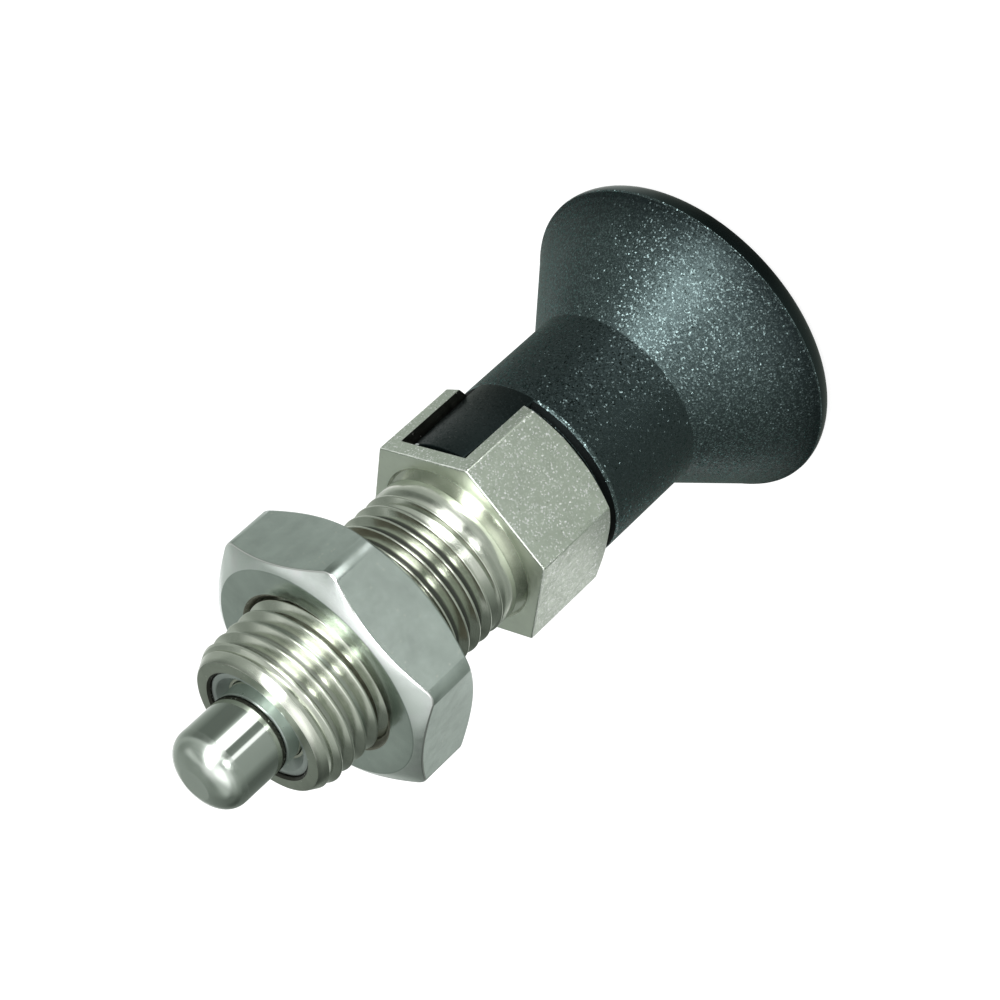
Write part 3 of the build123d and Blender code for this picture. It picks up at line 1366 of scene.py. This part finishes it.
# ------------------------------------------------------------------ lock nut
@dataclass
class LockNut:
    """Thin hexagon nut with turned corners."""

    across_flats: float = 0.0237
    low: float = 0.0112
    high: float = 0.0186
    turned_radius: float = 0.0111
    corner_slope: float = 0.5774
    corner_radius: float = 0.0016
    bore_radius: float = 0.00793
    countersink: float = 0.00045
    turn: float = 30.9

    def build(self, palette: Palette) -> Object:
        """Builds and dresses the nut.

        Args:
            palette: the finishes.

        Returns:
            The piece.
        """
        obj = hexagon("nut", self.across_flats, self.low, self.high, self.turn)
        rounding = self.corner_radius * TAN_30
        with editing(obj):
            choose(obj, Element.EDGE, lambda e: abs(e.verts[0].co.z - e.verts[1].co.z) > 0.001)
            bpy.ops.mesh.bevel(offset=rounding, segments=6, affect="EDGES")
        low, high, bore, sink = self.low, self.high, self.bore_radius, self.countersink
        reach = corner_reach(self.across_flats) + OVERSHOOT
        drop = (reach - self.turned_radius) * self.corner_slope
        blank = [
            (bore, low + sink),
            (bore + sink, low),
            (self.turned_radius, low),
            (reach, low + drop),
            (reach, high - drop),
            (self.turned_radius, high),
            (bore + sink, high),
            (bore, high - sink),
        ]
        turned_cut(obj, Cut.KEEP_COMMON, blank, closed=True)
        soften(obj, 0.00026, 3, 22)
        turned_off = over(self.turned_radius - 0.0001)
        dress(
            tidy(obj),
            palette.nut,
            # Painted highlight on the nut's front edges.
            (palette.nut_edge_highlight, Zone(z=over(high - 0.003), up=(0.1, 0.8))),
            # Painted highlight on the nut's front chamfer.
            (palette.nut_chamfer_highlight, Zone(z=over(high - 0.002), radius=turned_off, up=(0.8, 0.95))),
            # Painted shade on the nut's back face.
            (palette.shaded_nut_back, Zone(z=under(low + 2e-5), up=under(-0.9))),
            # Painted shade in the nut's countersink and bore.
            (palette.shaded_nut_bore, Zone(radius=under(bore + sink + 0.0001), inward=over(0.1))),
        )
        smooth(obj, 30, flats=1.0e-5)
        return finish_piece(obj, "nut", "lock_nut")


# ------------------------------------------------------------------ studio and camera
BRIGHTEST = 32.0


@dataclass(frozen=True)
class Ring:
    """How bright the light tent is all round, at one distance or height.

    Each stop is an azimuth in degrees, from -180 up, and the level there.
    """

    stops: tuple[Point, ...]

    def ramp(self, sheet: Sheet, share: Socket) -> Socket:
        """Adds the ring's colour ramp.

        Args:
            sheet: the tent's wiring sheet.
            share: the share of the way round.

        Returns:
            The ramp's colour, a share of the brightest.
        """
        node = self.node(sheet, share)
        stops, around = node.color_ramp.elements, (*self.stops, (180, self.stops[0][1]))
        while len(stops) < len(around):
            stops.new(0.5)
        for stop, (azimuth, _) in zip(stops, around):
            stop.position = (azimuth + 180) / 360
        for stop, (_, level) in zip(stops, around):
            white = min(level, 1.0)
            tint = (0.86 + 0.14 * white, 1.0, 0.87 + 0.13 * white)
            stop.color = (*(level / BRIGHTEST * t for t in tint), 1)
        return node.outputs[0]

    @staticmethod
    def node(sheet: Sheet, share: Socket) -> bpy.types.Node:
        """Adds a plain colour ramp and returns its node."""
        return sheet.add("ValToRGB", {0: share})[0].node


CONTACT_RING = Ring((
    (-180, 0.20), (-100, 0.20), (-75, 0.16), (-55, 0.05), (-28, 0.05), (-8, 0.20), (10, 0.60),
))
SLEEVE_RING = Ring((
    (-180, 0.20), (-150, 0.20), (-100, 0.32), (-60, 0.50), (-30, 0.06), (20, 0.10), (90, 0.30),
))
HEAD_RING = Ring((
    (-180, 1.3), (-174, 0.80), (-160, 0.50), (-130, 0.50), (-76, 0.55), (-68, 0.55),
    (-60, 0.56), (-30, 0.60), (40, 0.72), (50, 0.55), (100, 0.60), (160, 0.35), (170, 0.46),
    (174, 0.9), (177, 1.8),
))
BAND_RING = Ring((
    (-180, 0.80), (-165, 0.30), (-137, 0.32), (-102, 0.42), (-76, 0.50), (-68, 0.80),
    (-56, 0.70), (-46, 0.62), (-38, 0.9), (-30, 1.7), (-14, 1.4), (-4, 0.55), (13, 0.50),
    (36, 0.50), (50, 0.66), (68, 1.05), (91, 1.0), (115, 0.60), (135, 0.55), (155, 0.34),
    (166, 0.40), (172, 0.7), (175, 1.4), (178, 1.4),
))
NUT_RING = Ring((
    (-180, 0.60), (-165, 0.34), (-137, 0.40), (-102, 0.50), (-76, 0.60), (-66, 0.58),
    (-56, 0.58), (-46, 0.54), (-36, 0.56), (-12, 0.56), (13, 0.48), (50, 0.43), (68, 0.52),
    (91, 0.68), (115, 0.75), (135, 0.70), (155, 0.40), (166, 0.30), (176, 0.60),
))
FLOOR_RING = Ring((
    (-180, 0.16), (-165, 0.13), (-150, 0.13), (-135, 0.22), (-118, 0.36), (-80, 0.40),
    (-74, 0.42), (-71, 1.5), (-64, 1.5), (-61, 0.30), (-52, 0.24), (-43, 0.24),
    (-40, 2.0), (-12, 2.0), (-8, 0.5), (0, 0.22), (8, 0.17), (45, 0.17), (60, 0.26),
    (78, 0.36), (90, 0.50), (102, 0.64), (112, 0.9), (128, 1.0), (136, 0.6), (146, 0.28),
    (160, 0.20),
))
LEVEL_RING = Ring((
    (-180, 0.08), (-165, 0.12), (-150, 0.22), (-125, 0.36), (-103, 0.48), (-78, 0.50),
    (-73, 0.50), (-71, 18.0), (-65, 18.0), (-63, 0.50), (-54, 0.45), (-43, 0.6),
    (-38, 6.0), (-12, 6.0), (-6, 1.2), (2, 0.75), (13, 0.58), (36, 0.50), (52, 0.46),
    (81, 0.46), (100, 0.52), (112, 0.46), (128, 0.38), (145, 0.22), (165, 0.08),
))
LOW_RING = Ring((
    (-180, 0.15), (-165, 0.16), (-150, 0.30), (-125, 0.55), (-103, 0.90), (-80, 0.90),
    (-68, 0.50), (-50, 0.60), (-42, 1.1), (-38, 6.0), (-12, 6.0), (-6, 1.3), (2, 0.70),
    (13, 0.50), (36, 0.40), (52, 0.32), (81, 0.28), (100, 0.36), (112, 0.38), (128, 0.37),
    (145, 0.22), (165, 0.16),
))
HIGH_RING = Ring((
    (-180, 0.50), (-165, 0.65), (-150, 0.60), (-135, 0.90), (-117, 1.8), (-88, 1.9),
    (-76, 1.9), (-66, 1.4), (-50, 0.9), (-46, 1.1), (-40, 5.5), (-12, 5.5), (0, 0.7),
    (12, 0.40), (40, 0.36), (60, 0.80), (72, 0.65), (82, 0.30), (95, 0.32), (128, 0.34),
    (150, 0.26), (168, 0.30),
))


def direction(azimuth: float, elevation: float) -> Vector:
    """Gives the unit vector towards an azimuth and an elevation, in degrees."""
    a, e = math.radians(azimuth), math.radians(elevation)
    return Vector((math.cos(a) * math.cos(e), math.sin(a) * math.cos(e), math.sin(e)))


def hung(data: bpy.types.ID, aim: Vector, away: Vector, distance: float) -> Object:
    """Hangs a lamp or a camera so that it faces its aim.

    Args:
        data: the lamp or camera.
        aim: the point that it faces.
        away: the direction from the aim to its place.
        distance: how far it hangs from the aim.

    Returns:
        The object.
    """
    obj = bpy.data.objects.new(data.name, data)
    bpy.context.scene.collection.objects.link(obj)
    obj.location = aim + away * distance
    obj.rotation_mode = "QUATERNION"
    obj.rotation_quaternion = (-away).to_track_quat("-Z", "Y")
    return obj


@dataclass(frozen=True)
class Lamp:
    """A square lamp that faces the object, and that metal mirrors only if asked."""

    name: str
    azimuth: float
    elevation: float
    distance: float
    size: float
    power: float
    mirrored: bool = False

    def build(self) -> None:
        """Hangs the lamp."""
        data = bpy.data.lights.new(self.name, "AREA")
        data.shape, data.size, data.energy = "SQUARE", self.size, self.power
        away = direction(self.azimuth, self.elevation)
        hung(data, Vector(), away, self.distance).visible_glossy = self.mirrored


@dataclass
class Studio:
    """White floor and world, soft lamps, and the light tent that bright metal mirrors."""

    floor_level: float = -0.0350
    floor_size: float = 8.0
    floor_colour: Colour = (0.30, 0.30, 0.30)
    floor_glow: float = 0.86
    tent_radius: float = 0.9
    mat_lift: float = 2e-4
    floor_zones: tuple[tuple[float, Ring], ...] = (
        (0.024, SLEEVE_RING), (0.049, HEAD_RING), (0.070, BAND_RING), (0.090, NUT_RING),
        (0.142, FLOOR_RING),
    )
    zone_edge: Range = (0.95, 1.05)
    wall_zones: tuple[tuple[Range, Ring], ...] = (
        ((0.5, 3.5), LEVEL_RING), ((14, 20), LOW_RING), ((34, 44), HIGH_RING),
    )
    roof_zone: Range = (70, 84)
    zenith_level: float = 1.0
    ambient: float = 0.75
    lamps: tuple[Lamp, ...] = (
        Lamp("key_lamp", -30, 40, 0.6, 0.35, 2.0),
        Lamp("fill_lamp", -120, 35, 0.7, 0.4, 1.0),
        Lamp("back_lamp", 120, 45, 0.7, 0.4, 1.0),
        Lamp("spark_lamp", -28, 35, 0.7, 0.08, 0.35, mirrored=True),
    )

    @staticmethod
    def seen_directly(sheet: Sheet) -> Socket:
        """Wires the share of what is seen, not shed: camera, glossy and transmission rays.

        Args:
            sheet: the wiring sheet.

        Returns:
            1 for these rays, and 0 for the rest.
        """
        path = sheet.add("LightPath")
        seen = sheet.maths("ADD", path["Is Camera Ray"], path["Is Glossy Ray"])
        seen = sheet.maths("ADD", seen, path["Is Transmission Ray"])
        return sheet.maths("MINIMUM", seen, 1.0)

    @staticmethod
    def bare_material(name: str) -> tuple[bpy.types.Material, Sheet]:
        """Makes a material without nodes.

        Args:
            name: its name.

        Returns:
            The material and its wiring sheet.
        """
        material = bpy.data.materials.new(name)
        material.use_nodes = True
        material.node_tree.nodes.clear()
        return material, Sheet(material.node_tree)

    def floor(self) -> None:
        """Lays the white floor, which keeps a faint shadow."""
        obj = started(
            "floor", bpy.ops.mesh.primitive_plane_add, size=self.floor_size,
            location=(0, 0, self.floor_level),
        )
        material, sheet = self.bare_material("white_floor")
        matt = sheet.add("BsdfDiffuse", {"Color": self.floor_colour})[0]
        strength = sheet.maths("MULTIPLY", self.seen_directly(sheet), self.floor_glow)
        glow = sheet.add("Emission", {"Color": WHITE, "Strength": strength})[0]
        sheet.add("OutputMaterial", {"Surface": sheet.add("AddShader", {0: matt, 1: glow})[0]})
        obj.data.materials.append(material)

    def tent_light(self, sheet: Sheet) -> Socket:
        """Wires the tent's colour from the floor zones up to the roof.

        Args:
            sheet: the tent's wiring sheet.

        Returns:
            The colour, a share of the brightest.
        """
        x, y, z = sheet.add("SeparateXYZ", {0: sheet.add("TexCoord")["Object"]})
        share = sheet.maths("MULTIPLY_ADD", sheet.maths("ARCTAN2", y, x), 1 / math.tau, 0.5)
        away = sheet.distance(x, y)
        rise = sheet.maths("ARCTAN2", z, away)
        light = CONTACT_RING.ramp(sheet, share)
        for radius, ring in self.floor_zones:
            edge = (radius * self.zone_edge[0], radius * self.zone_edge[1])
            reached = sheet.remap(away, edge, (0.0, 1.0))
            light = sheet.blend(reached, light, ring.ramp(sheet, share))
        for (start, end), ring in (*self.wall_zones, (self.roof_zone, None)):
            reached = sheet.remap(rise, (math.radians(start), math.radians(end)), (0.0, 1.0))
            zenith = (self.zenith_level / BRIGHTEST,) * 3
            light = sheet.blend(reached, light, ring.ramp(sheet, share) if ring else zenith)
        return light

    def tent(self) -> None:
        """Hangs the light tent: a dome and a mat that only glossy rays see."""
        material, sheet = self.bare_material("light_tent")
        glow = sheet.add("Emission", {"Color": self.tent_light(sheet), "Strength": BRIGHTEST})[0]
        sheet.add("OutputMaterial", {"Surface": glow})
        wall = arc((0, 0), self.tent_radius, -2.2, 90, 24)[:-1]
        level = self.floor_level + self.mat_lift
        for name, outline in (
            ("tent_dome", wall + [(0, self.tent_radius)]),
            ("tent_mat", [(0, level), (self.tent_radius, level)]),
        ):
            obj = turned(name, outline, 96)
            obj.data.materials.append(material)
            obj.visible_camera = obj.visible_diffuse = False
            obj.visible_transmission = obj.visible_shadow = False

    def world(self) -> None:
        """Makes the white world, dimmer for the light that it sheds."""
        world = bpy.data.worlds.new("studio")
        bpy.context.scene.world = world
        world.use_nodes = True
        sheet = Sheet(world.node_tree)
        background = world.node_tree.nodes["Background"].inputs
        sheet.put(WHITE, background["Color"])
        strength = sheet.remap(self.seen_directly(sheet), (0.0, 1.0), (self.ambient, 1.0))
        sheet.put(strength, background["Strength"])

    def build(self) -> None:
        """Builds the studio."""
        self.world()
        self.floor()
        self.tent()
        for lamp in self.lamps:
            lamp.build()
        bpy.context.scene.view_settings.view_transform = "Standard"
        LOG.info("studio: floor, tent and %d lamps", len(self.lamps))


@dataclass(frozen=True)
class Viewpoint:
    """The camera: where it aims, where it stands and how it is rolled."""

    aim: tuple[float, float, float] = (0.001843, -0.001964, -0.004847)
    azimuth: float = -51.66
    elevation: float = 29.374
    distance: float = 0.2659
    roll: float = 132.60
    lens: float = 107.546
    sensor: float = 36.0
    clip: Range = (0.01, 20.0)

    def build(self) -> None:
        """Creates the camera and makes it the scene's."""
        data = bpy.data.cameras.new("camera")
        data.lens, data.sensor_width = self.lens, self.sensor
        data.clip_start, data.clip_end = self.clip
        away = direction(self.azimuth, self.elevation)
        obj = hung(data, Vector(self.aim), away, self.distance)
        obj.rotation_quaternion @= Quaternion((0, 0, 1), -math.radians(self.roll))
        bpy.context.scene.camera = obj


def main() -> None:
    """Builds every sub-assembly, the studio and the camera, in order."""
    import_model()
    palette = Palette()
    for part in (ThreadedBody(), GuideBush(), LockingPin(), ReturnSpring(), PullKnob(), LockNut()):
        part.build(palette)
    Studio().build()
    Viewpoint().build()
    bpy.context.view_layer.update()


if __name__ == "__main__":
    logging.basicConfig(level=logging.INFO, format="%(name)s: %(message)s")
    main()
